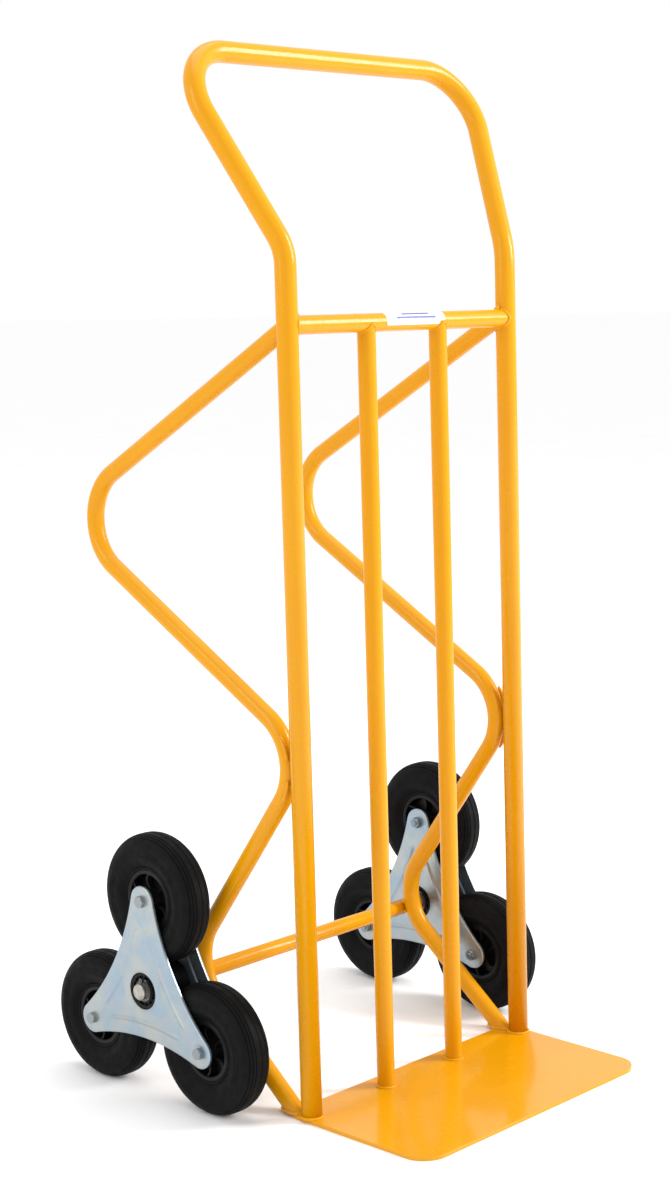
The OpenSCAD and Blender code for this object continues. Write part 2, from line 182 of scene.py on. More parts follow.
class Shader:
    """A node tree under construction, with short calls for the nodes that the materials use."""

    def __init__(self, name):
        self.material = bpy.data.materials.new(name)
        self.material.use_nodes = True
        self.tree = self.material.node_tree
        self.bsdf = self.tree.nodes["Principled BSDF"]
        self.place = self.tree.nodes.new("ShaderNodeTexCoord").outputs["Object"]

    def link(self, source, target):
        """Joins two sockets."""
        self.tree.links.new(source, target)

    def set(self, **values):
        """Constants on the Principled shader's own sockets, with _ for a space in a name."""
        for name, value in values.items():
            self.bsdf.inputs[name.replace("_", " ")].default_value = value

    def scaled(self, scale):
        """The object coordinates, stretched by a factor along each axis."""
        mapping = self.tree.nodes.new("ShaderNodeMapping")
        mapping.inputs["Scale"].default_value = scale
        self.link(self.place, mapping.inputs["Vector"])
        return mapping.outputs["Vector"]

    def noise(self, scale, detail=3.0, roughness=0.5, at=None, distortion=0.0):
        """Noise from 0 to 1, in object coordinates unless others are given."""
        node = self.tree.nodes.new("ShaderNodeTexNoise")
        node.inputs["Scale"].default_value = scale
        node.inputs["Detail"].default_value = detail
        node.inputs["Roughness"].default_value = roughness
        node.inputs["Distortion"].default_value = distortion
        self.link(at or self.place, node.inputs["Vector"])
        return node.outputs["Fac"]

    def ramp(self, value, stops):
        """Colours from (position, colour) stops."""
        node = self.tree.nodes.new("ShaderNodeValToRGB")
        ramp = node.color_ramp
        while len(ramp.elements) < len(stops):
            ramp.elements.new(0.5)
        for element, (position, colour) in zip(ramp.elements, stops):
            element.position = position
            element.color = (*colour, 1.0)
        self.link(value, node.inputs["Fac"])
        return node.outputs["Color"]

    def range(self, value, low, high, from_low=0.3, from_high=0.7):
        """A value mapped from one span to another."""
        node = self.tree.nodes.new("ShaderNodeMapRange")
        node.inputs["From Min"].default_value = from_low
        node.inputs["From Max"].default_value = from_high
        node.inputs["To Min"].default_value = low
        node.inputs["To Max"].default_value = high
        self.link(value, node.inputs["Value"])
        return node.outputs["Result"]

    def mix(self, factor, source, colour):
        """A socket's colour blended towards a plain one."""
        node = self.tree.nodes.new("ShaderNodeMix")
        node.data_type = "RGBA"
        self.link(factor, node.inputs["Factor"])
        first, second = (i for i in node.inputs if i.name in "AB" and i.type == "RGBA")
        self.link(source, first)
        second.default_value = (*colour, 1.0)
        return next(o for o in node.outputs if o.type == "RGBA")

    def bump(self, height, distance, under=None):
        """A bumped normal, on top of another one if given."""
        node = self.tree.nodes.new("ShaderNodeBump")
        node.inputs["Distance"].default_value = distance
        self.link(height, node.inputs["Height"])
        if under is not None:
            self.link(under, node.inputs["Normal"])
        return node.outputs["Normal"]

    def finish(self, colour, roughness, normal=None):
        """Links the results to the shader and gives back the material."""
        self.link(colour, self.bsdf.inputs["Base Color"])
        self.link(roughness, self.bsdf.inputs["Roughness"])
        if normal is not None:
            self.link(normal, self.bsdf.inputs["Normal"])
        return self.material


# ---- materials ----

def powder_coat(name, gloss):
    """Gloss powder coat with orange peel and slight thickness clouds."""
    s = Shader(name)
    s.set(Specular_IOR_Level=0.18, Coat_Weight=gloss, Coat_Roughness=0.08, Coat_IOR=1.5)
    thin = (0.66, 0.282, 0.0010)
    thick = (0.69, 0.300, 0.0014)
    colour = s.ramp(s.noise(9.0, detail=4.0), [(0.30, thin), (0.70, thick)])
    roughness = s.range(s.noise(45.0, detail=5.0), low=0.20, high=0.30)
    peel = s.bump(s.noise(320.0, detail=1.0, roughness=0.4), distance=0.00003)
    return s.finish(colour, roughness, peel)


def zinc(name, lightness=1.0):
    """Bright zinc plating: bluish silver with warm and rosy clouds and fine rolling lines; a lightness
    below 1 darkens every colour as painted shade.
    """
    s = Shader(name)
    s.set(Metallic=0.88)
    shades = ((0.31, 0.40, 0.47), (0.41, 0.44, 0.43), (0.42, 0.40, 0.44))
    blue, warm, rose = (tuple(v * lightness for v in shade) for shade in shades)
    clouds = s.ramp(s.noise(26.0, detail=4.0, distortion=0.6), [(0.38, blue), (0.62, warm)])
    tint = s.range(s.noise(55.0, detail=3.0, distortion=1.2), low=0.0, high=0.55, from_low=0.5)
    colour = s.mix(tint, clouds, rose)
    roughness = s.range(s.noise(120.0, detail=6.0, roughness=0.65), low=0.30, high=0.46)
    rolled = s.noise(260.0, detail=3.0, at=s.scaled((1.0, 1.0, 0.04)))
    grain = s.bump(rolled, distance=0.00005)
    dents = s.bump(s.noise(70.0, detail=2.0), distance=0.00012, under=grain)
    return s.finish(colour, roughness, dents)


def turned_steel():
    """Bare axle steel with turning marks round the shaft and a faint brown bloom."""
    s = Shader("turned_steel")
    s.set(Metallic=0.95)
    clean = (0.50, 0.49, 0.46)
    brown = (0.33, 0.29, 0.24)
    colour = s.ramp(s.noise(90.0, detail=5.0), [(0.35, clean), (0.70, brown)])
    roughness = s.range(s.noise(300.0, detail=4.0), low=0.28, high=0.48)
    round_the_shaft = s.scaled((1.0, 0.03, 0.03))
    marks = s.bump(s.noise(900.0, detail=2.0, at=round_the_shaft), distance=0.00004)
    return s.finish(colour, roughness, marks)


def spring_steel():
    """Blued spring steel with a light oil film."""
    s = Shader("spring_steel")
    s.set(Metallic=0.9)
    blued = (0.10, 0.10, 0.11)
    worn = (0.20, 0.19, 0.19)
    colour = s.ramp(s.noise(220.0, detail=4.0), [(0.35, blued), (0.7, worn)])
    roughness = s.range(s.noise(500.0, detail=4.0), low=0.25, high=0.42)
    return s.finish(colour, roughness, s.bump(s.noise(1400.0, detail=2.0), distance=0.00003))


def rubber():
    """Black tyre rubber: dull, with mould bloom, fine grain and dusty patches."""
    s = Shader("rubber")
    s.set(Specular_IOR_Level=0.10)
    black = (0.0016, 0.0016, 0.0019)
    bloomed = (0.0038, 0.0038, 0.0042)
    colour = s.ramp(s.noise(38.0, detail=5.0, roughness=0.6), [(0.30, black), (0.72, bloomed)])
    roughness = s.range(s.noise(95.0, detail=5.0), low=0.50, high=0.70)
    grain = s.bump(s.noise(1300.0, detail=3.0, roughness=0.6), distance=0.00009)
    scuffs = s.bump(s.noise(160.0, detail=4.0, roughness=0.7), distance=0.00016, under=grain)
    return s.finish(colour, roughness, scuffs)


def moulded_plastic(name, darkest, lightest, smoothest, roughest):
    """Injection-moulded black plastic with a fine spark-eroded texture."""
    s = Shader(name)
    s.set(Specular_IOR_Level=0.16)
    colour = s.ramp(s.noise(45.0, detail=4.0), [(0.3, (darkest,) * 3), (0.7, (lightest,) * 3)])
    roughness = s.range(s.noise(180.0, detail=4.0), low=smoothest, high=roughest)
    return s.finish(colour, roughness, s.bump(s.noise(2200.0, detail=2.0), distance=0.00005))


def label_print():
    """The blank white film of the label, with paper mottle under a clear coat."""
    s = Shader("label_print")
    s.set(Coat_Weight=0.5, Coat_Roughness=0.08)
    shade = (0.58, 0.60, 0.66)
    light = (0.66, 0.68, 0.73)
    paper = s.ramp(s.noise(300.0, detail=3.0), [(0.3, shade), (0.7, light)])
    roughness = s.range(s.noise(90.0), low=0.25, high=0.38)
    return s.finish(paper, roughness, s.bump(s.noise(700.0, detail=2.0), distance=0.00003))


def stripe_print():
    """The blue ink of the label's plain stripes."""
    s = Shader("stripe_print")
    s.set(Coat_Weight=0.5, Coat_Roughness=0.08)
    full = (0.030, 0.040, 0.26)
    thin = (0.050, 0.065, 0.34)
    ink = s.ramp(s.noise(800.0, detail=3.0), [(0.3, full), (0.7, thin)])
    return s.finish(ink, s.range(s.noise(90.0), low=0.25, high=0.38))


def floor_paper():
    """The studio's near-white paper, with only a trace of tooth."""
    s = Shader("floor_paper")
    colour = s.ramp(s.noise(3.0, detail=3.0), [(0.3, (0.975,) * 3), (0.7, (0.99,) * 3)])
    roughness = s.range(s.noise(40.0), low=0.75, high=0.85)
    return s.finish(colour, roughness, s.bump(s.noise(900.0, detail=2.0), distance=0.0001))


PAINT = powder_coat("powder_coat", 0.10)
PLATE_PAINT = powder_coat("plate_powder_coat", 0.36)
ZINC_PLATE = zinc("zinc_plate")
# the fasteners' zinc is the plate's zinc darkened to 0.72: painted shade for the shaded sides of bolt
# heads, nuts and sleeves
SHADED_ZINC_FASTENER = zinc("zinc_fastener", 0.72)
STEEL = turned_steel()
SPRING = spring_steel()
RUBBER = rubber()
RIM_PLASTIC = moulded_plastic("rim_plastic", 0.003, 0.006, 0.28, 0.42)
NYLON = moulded_plastic("nylon", 0.005, 0.009, 0.34, 0.50)
LABEL = label_print()
STRIPE = stripe_print()


# ---- mesh helpers ----

def make_piece(name, vertices, faces, material, smooth_angle=35.0):
    """A mesh object with smooth shading that keeps edges sharper than an angle."""
    mesh = bpy.data.meshes.new(name)
    mesh.from_pydata([tuple(v) for v in vertices], [], faces)
    mesh.validate()
    surface = bmesh.new()
    surface.from_mesh(mesh)
    bmesh.ops.recalc_face_normals(surface, faces=surface.faces)
    for face in surface.faces:
        face.smooth = True
    limit = math.radians(smooth_angle)
    for edge in surface.edges:
        edge.smooth = len(edge.link_faces) == 2 and edge.calc_face_angle(0.0) < limit
    surface.to_mesh(mesh)
    surface.free()
    mesh.materials.append(material)
    piece = bpy.data.objects.new(name, mesh)
    bpy.context.scene.collection.objects.link(piece)
    return piece


class Shape:
    """Vertices and faces gathered from several parts of one piece."""

    def __init__(self):
        self.vertices = []
        self.faces = []

    def add(self, vertices, faces, place=None):
        """Adds a part, moved by a matrix if one is given."""
        start = len(self.vertices)
        for vertex in vertices:
            point = Vector(vertex)
            self.vertices.append(place @ point if place else point)
        self.faces.extend([tuple(i + start for i in face) for face in faces])

    def piece(self, name, material, smooth_angle=35.0):
        """Everything added so far, as one object."""
        return make_piece(name, self.vertices, self.faces, material, smooth_angle)


def polar(radius, angle, height):
    """A point at a radius and an angle about Z."""
    return radius * math.cos(angle), radius * math.sin(angle), height


def ring_grid(rings, around, closed=False):
    """Faces that join rings of `around` points each, with end caps or a closed loop of rings."""
    faces = []
    count = len(rings)
    for i in range(count if closed else count - 1):
        a = i * around
        b = ((i + 1) % count) * around
        for j in range(around):
            k = (j + 1) % around
            faces.append((a + j, a + k, b + k, b + j))
    if not closed:
        faces.append(tuple(range(around))[::-1])
        faces.append(tuple(range((count - 1) * around, count * around)))
    return faces


def turned(profile, around=96, closed=False):
    """Vertices and faces of a profile of (radius, height) points turned about Z."""
    rings = []
    for radius, height in profile:
        ring = []
        for j in range(around):
            angle = 2 * math.pi * j / around
            ring.append(polar(radius, angle, height))
        rings.append(ring)
    faces = ring_grid(rings, around, closed=closed)
    return [point for ring in rings for point in ring], faces


def arc(centre, radius, start, end, steps):
    """Points (x, y) along an arc, angles in degrees."""
    points = []
    for i in range(steps + 1):
        angle = math.radians(start + (end - start) * i / steps)
        points.append((centre[0] + radius * math.cos(angle), centre[1] + radius * math.sin(angle)))
    return points


def swept(path, radius_at, around, closed=False):
    """A round bead along a path; radius_at gives its radius at each point's number."""
    count = len(path)
    points = [Vector(p) for p in path]
    vertices = []
    side = None
    for i, point in enumerate(points):
        if closed:
            ahead = (points[(i + 1) % count] - points[i - 1]).normalized()
        else:
            ahead = (points[min(i + 1, count - 1)] - points[max(i - 1, 0)]).normalized()
        if side is None:
            side = ahead.orthogonal().normalized()
        side = (side - ahead * side.dot(ahead)).normalized()
        up = ahead.cross(side)
        radius = radius_at(i)
        for j in range(around):
            angle = 2 * math.pi * j / around
            vertices.append(point + (side * math.cos(angle) + up * math.sin(angle)) * radius)
    faces = ring_grid(range(count), around, closed=closed)
    return vertices, faces


def lifted(height):
    """A shift along Z."""
    return Matrix.Translation((0, 0, height))


def stand_for(piece, node, body):
    """Puts a detailed piece in a CAD node's place, on its body."""
    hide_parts(node)
    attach(piece, body)


def soften(node, material, width, segments):
    """Keeps a CAD node's shape, with a material of its own and softened edges."""
    data = nodes[node].data
    data.materials.clear()
    data.materials.append(material)
    edge = nodes[node].modifiers.new("soft_edge", "BEVEL")
    edge.width = width
    edge.segments = segments
    edge.limit_method = "ANGLE"


# ---- frame: tubes and toe plate ----

def leaned_point(x, y, z):
    """A point of the upright frame, after the frame leans back."""
    return LEANED @ Vector((x, y, z))


def guard_x(side, up):
    """How far out a side guard's plane is at a height: it tilts out towards its foot."""
    return side * (GUARD_FOOT_X + (GUARD_TOP_X - GUARD_FOOT_X) * up / GUARD_TOP_Z)


def rounded_path(corners):
    """A centre line through corners, with every inner corner turned on the bend radius."""
    points = [corners[0]]
    for before, corner, after in zip(corners, corners[1:], corners[2:]):
        back = (before - corner).normalized()
        ahead = (after - corner).normalized()
        turn = math.pi - back.angle(ahead)
        inward = (back + ahead).normalized()
        centre = corner + inward * (BEND_R / math.cos(turn / 2))
        start = corner + back * BEND_R * math.tan(turn / 2) - centre
        steps = max(int(math.degrees(turn) / BEND_STEP_DEGREES), 2)
        axis = (-back).cross(ahead)
        for i in range(steps + 1):
            points.append(centre + Matrix.Rotation(turn * i / steps, 3, axis) @ start)
    return points + [corners[-1]]


def tube(node, corners, radius):
    """A smooth tube along a rounded path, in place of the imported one, cut off on the toe plate."""
    shape = Shape()
    path = rounded_path([leaned_point(*corner) for corner in corners])
    shape.add(*swept(path, lambda _: radius, around=64))
    piece = shape.piece(f"{node}_tube", PAINT)
    surface = bmesh.new()
    surface.from_mesh(piece.data)
    everything = surface.verts[:] + surface.edges[:] + surface.faces[:]
    plane = (0, 0, PLATE_TOP - FOOT_SINK)
    cut = bmesh.ops.bisect_plane(
        surface, geom=everything, plane_co=plane, plane_no=(0, 0, -1), clear_outer=True)
    rim = [item for item in cut["geom_cut"] if isinstance(item, bmesh.types.BMEdge)]
    bmesh.ops.edgeloop_fill(surface, edges=rim)
    surface.to_mesh(piece.data)
    surface.free()
    stand_for(piece, node, "frame")


def tubes():
    """Uprights with their handle loop, crossbar, rails and side guards."""
    below_plate = -LIGHT_R
    half = [(HALF_SPACING, 0.0, below_plate), (HALF_SPACING, 0.0, HANDLE_BEND_Z), HANDLE_CORNER]
    tube("main_frame", [(-x, y, z) for x, y, z in half] + half[::-1], MAIN_R)
    bar_half = HALF_SPACING - MAIN_R * BAR_SHORTFALL
    tube("crossbar", [(x, 0.0, CROSSBAR_HEIGHT) for x in (-bar_half, bar_half)], LIGHT_R)
    for name, side in SIDES.items():
        rail = [(side * RAIL_OFFSET, 0.0, z) for z in (below_plate, CROSSBAR_HEIGHT)]
        tube(f"{name}_rail", rail, LIGHT_R)
        corners = [(guard_x(side, up), behind, up) for behind, up in GUARD_CORNERS]
        foot, before = Vector(corners[-1]), Vector(corners[-2])
        corners[-1] = foot + (before - foot) * (below_plate / (before.z - foot.z))
        tube(f"{name}_guard", corners, LIGHT_R)


def toe_plate():
    """The flat plate from the CAD model, in its glossier coat."""
    soften("toe_plate", PLATE_PAINT, width=0.0009, segments=3)


# ---- frame: weld beads ----

def saddle(centre, along, radius, main_at, main_along, main_radius):
    """The closed curve where a branch tube meets the near side of a main tube."""
    along = along.normalized()
    main_along = main_along.normalized()
    side = along.orthogonal().normalized()
    up = along.cross(side)
    across = along - main_along * along.dot(main_along)
    points = 160
    curve = []
    for i in range(points):
        angle = 2 * math.pi * i / points
        start = centre + (side * math.cos(angle) + up * math.sin(angle)) * radius
        offset = (start - main_at) - main_along * (start - main_at).dot(main_along)
        a = across.dot(across)
        b = 2 * across.dot(offset)
        c = offset.dot(offset) - main_radius * main_radius
        reach = (-b - math.sqrt(max(b * b - 4 * a * c, 0.0))) / (2 * a)
        curve.append(start + along * reach)
    return curve


def ring_curve(centre, radius, stretch=1.0):
    """A level ring, stretched along Y for a tube that meets the plate at a slant."""
    points = 140
    curve = []
    for i in range(points):
        angle = 2 * math.pi * i / points
        x, y, z = polar(radius, angle, 0.0)
        curve.append(centre + Vector((x, y * stretch, z)))
    return curve


def evenly(curve, closed):
    """The curve again with points a weld step apart."""
    loop = curve + [curve[0]] if closed else curve
    lengths = [0.0]
    for a, b in zip(loop, loop[1:]):
        lengths.append(lengths[-1] + (b - a).length)
    count = max(int(lengths[-1] / WELD_STEP), 8)
    result = []
    at = 0
    for i in range(count if closed else count + 1):
        wanted = lengths[-1] * i / count
        while at < len(lengths) - 2 and lengths[at + 1] < wanted:
            at += 1
        span = lengths[at + 1] - lengths[at]
        share = (wanted - lengths[at]) / span if span else 0.0
        result.append(loop[at].lerp(loop[at + 1], share))
    return result


def add_weld(shape, curve, closed=True, radius=WELD_R, seed=0):
    """A rippled bead along a curve, as a hand-laid weld under paint."""
    random.seed(seed)
    path = evenly([Vector(p) for p in curve], closed)
    drift = [random.uniform(-1.0, 1.0) for _ in range(WELD_WAVES)]
    count = len(path)

    def radius_at(i):
        share = i / count
        wave = sum(d * math.sin(2 * math.pi * k * share + d) for k, d in enumerate(drift, 1))
        ripple = abs(math.sin(math.pi * i * WELD_STEP / WELD_RIPPLE))
        taper = 1.0
        if not closed:
            end = min(i, count - 1 - i) * WELD_STEP / (2 * radius)
            taper = math.sqrt(min(1.0, WELD_END_SHARE + end))
        swell = 1.0 - RIPPLE_DEPTH * (1.0 - ripple) + WAVE_DEPTH * wave
        return radius * taper * swell

    shape.add(*swept(path, radius_at, around=14, closed=closed))


def guard_point(side, corner):
    """A corner (behind, up) of the guard's flat shape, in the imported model's frame."""
    behind, up = corner
    return leaned_point(guard_x(side, up), behind, up)


def guard_bend(number):
    """Centre of a guard bend and its middle point, both as (behind, up)."""
    before, corner, after = (Vector(GUARD_CORNERS[number + k]) for k in (-1, 0, 1))
    inward = ((before - corner).normalized() + (after - corner).normalized()).normalized()
    half_angle = (before - corner).angle(after - corner) / 2
    centre = corner + inward * (BEND_R / math.sin(half_angle))
    return centre, centre - inward * BEND_R


def add_foot_welds(shape, side):
    """Beads round the feet of an upright and a rail, just above the toe plate."""
    foot_y = PLATE_TOP * math.tan(LEAN)
    for number, (x, radius) in enumerate(((HALF_SPACING, MAIN_R), (RAIL_OFFSET, LIGHT_R))):
        foot = Vector((side * x, foot_y, PLATE_TOP + 0.0003))
        add_weld(shape, ring_curve(foot, radius + 0.0004), seed=10 + number + side)


def add_tube_end_welds(shape, side):
    """Beads where the crossbar, a rail and a guard meet the tube across them."""
    upright_axis = leaned_point(0, 0, 1)
    bar_axis = Vector((1, 0, 0))
    bar_middle = leaned_point(0, 0, CROSSBAR_HEIGHT)
    upright = leaned_point(side * HALF_SPACING, 0, 0)
    bar_end = saddle(bar_middle, bar_axis * side, LIGHT_R, upright, upright_axis, MAIN_R)
    add_weld(shape, bar_end, seed=20 + side)
    rail_foot = leaned_point(side * RAIL_OFFSET, 0, 0)
    bar_reach = LIGHT_R + 0.0001
    rail_top = saddle(rail_foot, upright_axis, LIGHT_R, bar_middle, bar_axis, bar_reach)
    add_weld(shape, rail_top, seed=30 + side, radius=RAIL_WELD_R)
    top, rear = (guard_point(side, corner) for corner in GUARD_CORNERS[:2])
    guard_top = saddle(rear, top - rear, LIGHT_R, upright, upright_axis, MAIN_R)
    add_weld(shape, guard_top, seed=40 + side)


def add_guard_foot_weld(shape, side):
    """A bead round a guard's slanting foot, on the toe plate."""
    foot = guard_point(side, GUARD_CORNERS[-1])
    slope = (guard_point(side, GUARD_CORNERS[-2]) - foot).normalized()
    foot_on_plate = foot + slope * ((PLATE_TOP + 0.0004 - foot.z) / slope.z)
    add_weld(shape, ring_curve(foot_on_plate, LIGHT_R + 0.0003, stretch=1.0 / slope.z), seed=50 + side)


def add_groove_welds(shape, side):
    """Two short beads a side in the groove between a guard's front bend and the upright."""
    centre, nearest = guard_bend(2)
    bead_r = BEND_R + 0.0085
    middle_x = (guard_x(side, nearest.y) + side * HALF_SPACING) / 2
    steps = 13
    for outward in (-1, 1):
        for low, high in ((-32, -9), (9, 32)):
            curve = []
            for i in range(steps + 1):
                angle = math.radians(180 + low + (high - low) * i / steps)
                behind = max(centre.x + bead_r * math.cos(angle), MAIN_R * 0.86)
                up = centre.y + bead_r * math.sin(angle)
                curve.append(leaned_point(middle_x + outward * 0.0078, behind, up))
            seed = 60 + side + outward + low
            add_weld(shape, curve, closed=False, seed=seed, radius=GROOVE_WELD_R)


def add_axle_welds(shape, side):
    """Beads above and below the axle where it lies against the guard's bend."""
    centre, _ = guard_bend(3)
    flat = LEANED.inverted() @ Vector((0.0, AXLE_CENTRE.y, AXLE_CENTRE.z))
    outward = (Vector((flat.y, flat.z)) - centre).normalized()
    contact = centre + outward * (BEND_R + LIGHT_R)
    tangent = Vector((-outward.y, outward.x))
    x = guard_x(side, contact.y)
    half_steps = 6
    for direction in (-1, 1):
        curve = []
        for i in range(2 * half_steps + 1):
            share = i / half_steps - 1
            shift = tangent * direction * (0.0072 - 0.0018 * share * share)
            at = contact + shift + outward * (0.0005 - 0.0022 * share * share)
            curve.append(leaned_point(x + 0.0085 * share, at.x, at.y))
        add_weld(shape, curve, closed=False, seed=80 + side + direction, radius=AXLE_WELD_R)


def frame_welds():
    """Every weld of the frame in one piece: feet, crossbar, rails, guards and axle."""
    shape = Shape()
    for side in (-1, 1):
        add_foot_welds(shape, side)
        add_tube_end_welds(shape, side)
        add_guard_foot_weld(shape, side)
        add_groove_welds(shape, side)
        add_axle_welds(shape, side)
    piece = shape.piece("frame_weld_beads", PAINT, smooth_angle=80.0)
    stand_for(piece, "frame_welds", "frame")


# ---- frame: label ----

def label_floor(x):
    """The lowest angle on the crossbar that stays clear of the right rail's weld at a given x."""
    reach = math.sqrt(max(WELD_CLEAR_R ** 2 - (x - RAIL_OFFSET) ** 2, 0.0))
    return min(LABEL_LOW, math.pi + math.acos(min(reach / (LIGHT_R + LABEL_LIFT), 1.0)))


def label_patch(left, right, low, high, radius, corner):
    """A patch round the crossbar, from an angle below its front to one near its top."""
    columns, rows = 84, 32
    vertices, faces = [], []
    for i in range(columns + 1):
        x = left + (right - left) * i / columns
        first = min(low, label_floor(x))
        inset = max(corner - min(x - left, right - x), 0.0)
        trim = (corner - math.sqrt(max(corner ** 2 - inset ** 2, 0.0))) / radius
        for j in range(rows + 1):
            angle = first - trim + (high - first + 2 * trim) * j / rows
            vertices.append((x, math.cos(angle) * radius, math.sin(angle) * radius))
    for i in range(columns):
        for j in range(rows):
            a = i * (rows + 1) + j
            faces.append((a, a + 1, a + rows + 2, a + rows + 1))
    return vertices, faces


def label():
    """A thin blank label on the crossbar, with plain blue stripes and no lettering."""
    left, right = (corner.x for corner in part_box("label"))
    radius = LIGHT_R + LABEL_LIFT
    ink_radius = radius + LABEL_THICKNESS + INK_LIFT
    place = LEANED @ lifted(CROSSBAR_HEIGHT)
    sheet = Shape()
    sheet.add(*label_patch(left, right, LABEL_LOW, LABEL_HIGH, radius, LABEL_CORNER), place=place)
    piece = sheet.piece("blank_label", LABEL)
    solid = piece.modifiers.new("thickness", "SOLIDIFY")
    solid.thickness = LABEL_THICKNESS
    solid.offset = 1.0
    stand_for(piece, "label", "frame")
    stripes = Shape()
    for start, end, low, high in LABEL_STRIPES:
        angles = math.radians(low), math.radians(high)
        stripe = label_patch(left + start, left + end, *angles, ink_radius, INK_CORNER)
        stripes.add(*stripe, place=place)
    ink = stripes.piece("label_stripes", STRIPE)
    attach(ink, "frame")


# ---- axle ----

def along_x(x):
    """Turns a shape made about Z so that it lies along +X, at a place on the axle line."""
    at = Matrix.Translation((x, AXLE_CENTRE.y, AXLE_CENTRE.z))
    return at @ Matrix.Rotation(math.pi / 2, 4, "Y")


def painted_bar(half):
    """The axle's painted middle, with slightly broken edges."""
    edge = 0.0002
    quarter = [(0.0, half), (AXLE_R - edge, half), (AXLE_R, half - 2 * edge)]
    bar = Shape()
    bar.add(*turned([(r, -z) for r, z in quarter] + quarter[::-1]), place=along_x(0.0))
    middle = bar.piece("axle_painted_bar", PAINT)
    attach(middle, "frame")


def clip_places():
    """Distances from the centre plane to the middle of the inner and the outer clip."""
    reach = PLATE_PAIR / 2 - BUSH_INSET + CLIP_GAP + CLIP_HALF
    return CLUSTER_X - reach, CLUSTER_X + reach


def axle_end_profile(painted_half, length):
    """Half section of a bare end: two clip grooves, a chamfered tip and a centre drilling."""
    profile = [(0.0, 0.0), (AXLE_R - 0.0002, 0.0)]
    bottom = AXLE_R - GROOVE_DEPTH
    for clip in clip_places():
        start, end = clip - painted_half - GROOVE_HALF, clip - painted_half + GROOVE_HALF
        profile += [(AXLE_R, start), (bottom, start), (bottom, end), (AXLE_R, end)]
    tip = [(AXLE_R, 0.0014), (AXLE_R - 0.0012, 0.0001), (AXLE_R - 0.0016, 0.0)]
    drilling = [(0.0026, 0.0), (0.0006, 0.0022), (0.0, 0.0022)]
    return profile + [(r, length - depth) for r, depth in tip + drilling]


def axle():
    """A painted bar between the clusters and a bare turned end through each hub."""
    painted_half = CLUSTER_X - PLATE_PAIR / 2 - 0.002
    painted_bar(painted_half)
    low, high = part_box("axle")
    ends = Shape()
    for side, end in ((-1, low.x), (1, high.x)):
        flip = Matrix.Rotation(0 if side > 0 else math.pi, 4, "X")
        profile = axle_end_profile(painted_half, abs(end) - painted_half)
        ends.add(*turned(profile), place=along_x(side * painted_half) @ flip)
    bare = ends.piece("axle_bare_ends", STEEL, smooth_angle=30.0)
    stand_for(bare, "axle", "frame")


def axle_clips():
    """The four retaining clips from the CAD model."""
    soften("axle_clips", SPRING, width=0.00022, segments=2)


# ---- clusters ----

def at_cluster(side):
    """Places a shape made about Z at a cluster: +Z away from the truck, +X straight up."""
    up = Vector((0, 0, 1))
    out = Vector((side, 0, 0))
    across = out.cross(up)
    rotation = Matrix((up, across, out)).transposed().to_4x4()
    return Matrix.Translation((side * CLUSTER_X, AXLE_CENTRE.y, AXLE_CENTRE.z)) @ rotation


def arm_place(side, number):
    """A place at a wheel's centre with the cluster's axes."""
    turn = Matrix.Rotation(-side * math.radians(number * ARM_ANGLE), 4, "Z")
    return at_cluster(side) @ turn @ Matrix.Translation((CLUSTER_R, 0, 0))


def arm_centre(number):
    """The middle of an arm's end in the plate's plane."""
    return Matrix.Rotation(math.radians(number * ARM_ANGLE), 2) @ Vector((CLUSTER_R, 0.0))


def toward(degrees):
    """The unit vector at an angle in the plate's plane."""
    angle = math.radians(degrees)
    return Vector((math.cos(angle), math.sin(angle)))


def outline_of_plate():
    """The outline, counter-clockwise, and its waist circles' distance and radius."""
    gap = WAIST_R - ARM_END_R
    far = (CLUSTER_R ** 2 - gap ** 2) / (CLUSTER_R - 2 * gap)
    edge_r = far - WAIST_R
    arm, next_arm = arm_centre(0), arm_centre(1)
    waist = toward(ARM_ANGLE / 2) * far
    waist_before = Vector((waist.x, -waist.y))
    bearings = [math.degrees((w - arm).angle_signed(Vector((1, 0)))) for w in (waist_before, waist)]
    third = [Vector(p) for p in arc(arm, ARM_END_R, min(bearings), max(bearings), 40)]
    touch = arm + (waist - arm).normalized() * ARM_END_R
    next_touch = next_arm + (waist - next_arm).normalized() * ARM_END_R
    first = math.atan2(*(touch - waist).yx)
    last = math.atan2(*(next_touch - waist).yx)
    if last > first:
        last -= 2 * math.pi
    waist_steps = 56
    for i in range(1, waist_steps):
        angle = first + (last - first) * i / waist_steps
        third.append(waist + Vector((math.cos(angle), math.sin(angle))) * edge_r)
    points = []
    for number in range(3):
        turn = Matrix.Rotation(math.radians(number * ARM_ANGLE), 2)
        points += [turn @ point for point in third]
    return points, far, edge_r


def inside(point, outline):
    """Is a point inside a closed outline?"""
    hit = False
    for a, b in zip(outline, outline[1:] + outline[:1]):
        if (a.y > point.y) != (b.y > point.y):
            x = a.x + (point.y - a.y) * (b.x - a.x) / (b.y - a.y)
            if point.x < x:
                hit = not hit
    return hit


def offset_outline(outline, distance):
    """The outline moved inwards by a distance, point by point."""
    result = []
    count = len(outline)
    for i, point in enumerate(outline):
        ahead = (outline[(i + 1) % count] - outline[i - 1]).normalized()
        result.append(point + Vector((-ahead.y, ahead.x)) * distance)
    return result


def smooth_step(value):
    """A soft step from 0 to 1 as a value goes from 0 to 1."""
    value = min(max(value, 0.0), 1.0)
    return value * value * (3 - 2 * value)


